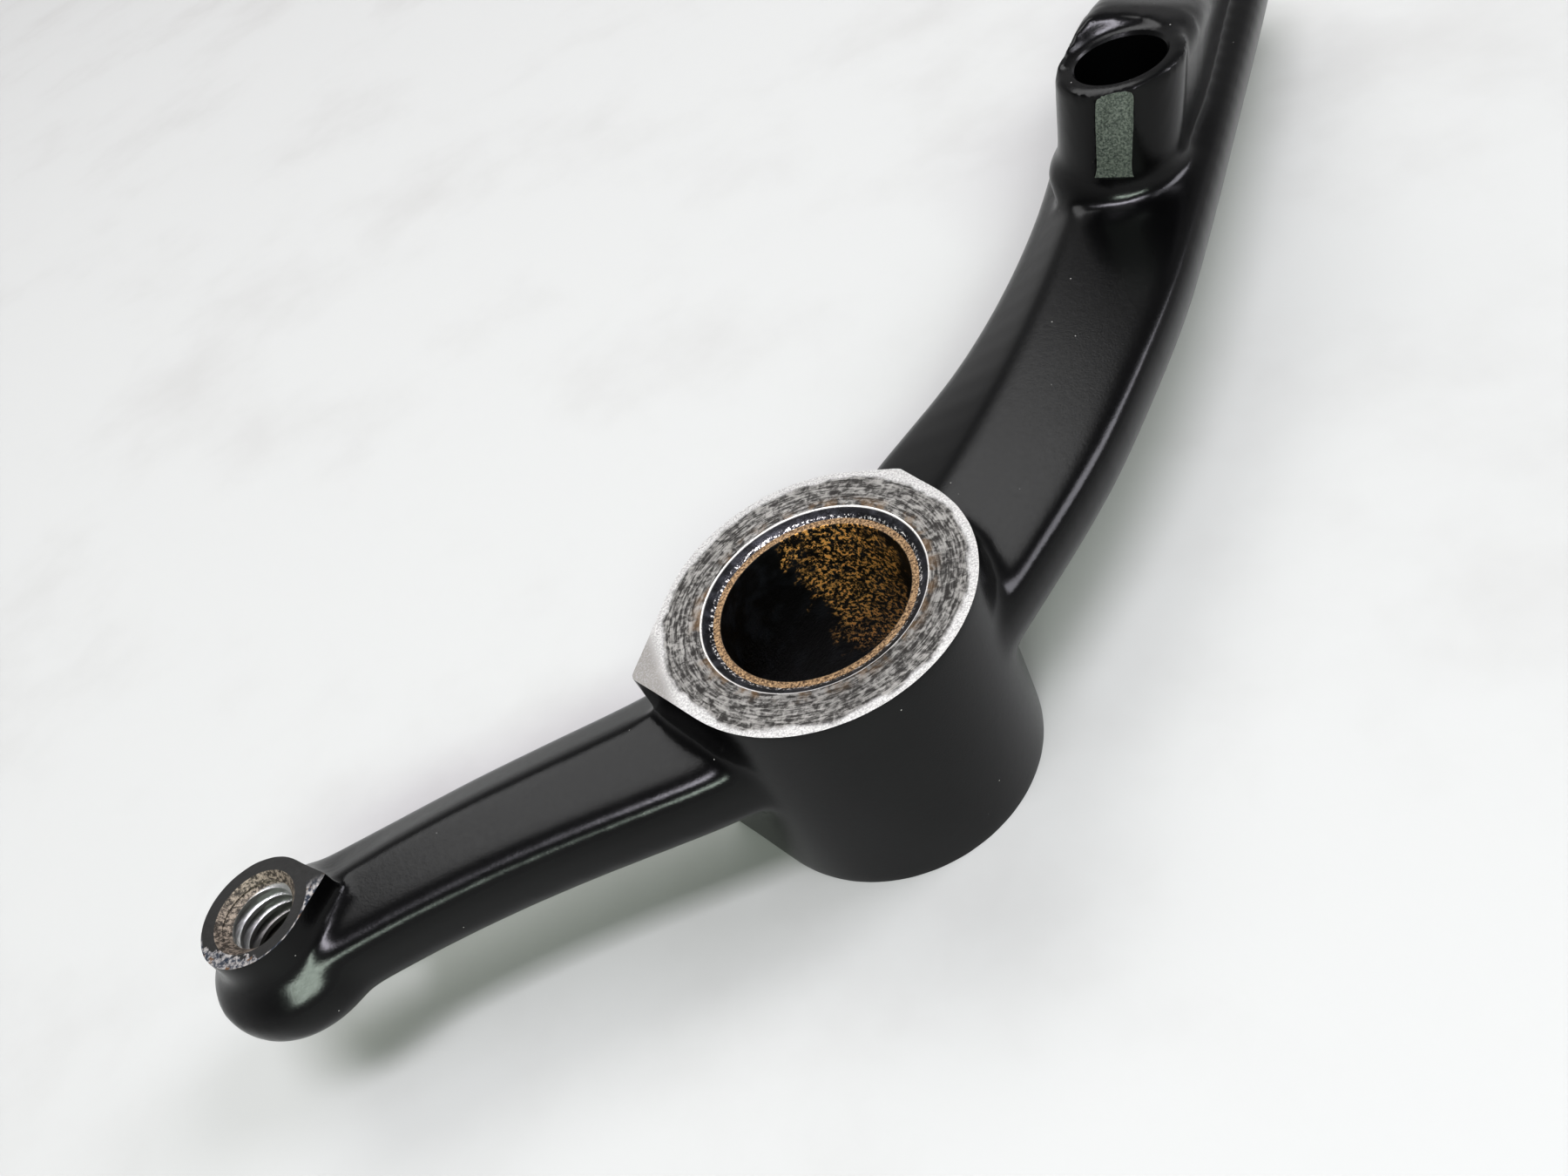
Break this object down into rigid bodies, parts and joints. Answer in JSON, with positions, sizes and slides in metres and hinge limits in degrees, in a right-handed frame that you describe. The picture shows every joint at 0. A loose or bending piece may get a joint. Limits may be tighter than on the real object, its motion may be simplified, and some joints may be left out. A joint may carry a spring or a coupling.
{
  "type": "pivoting foot-control lever",
  "caption": "Two-armed forged lever with a bushed pivot hub, a short arm with a threaded linkage hole and a long bowed arm with a bored boss for a peg or pad.",
  "frame": {"origin": "on the pivot axis, halfway along the hub", "axes": "+Z along the pivot axis, out of the machined face of the hub; the short arm lies along -X and the long arm leaves towards +X +Y"},
  "size_m": [0.1755, 0.1197, 0.0358],
  "materials": {
    "black_powder_coat": "satin black powder coat, bare where the hub and linkage faces are machined",
    "sintered_bronze": "oily, grainy sintered bronze"
  },
  "bodies": {
    "root": {"lever": "black_powder_coat", "pivot_bush": "sintered_bronze"}
  },
  "joints": []
}
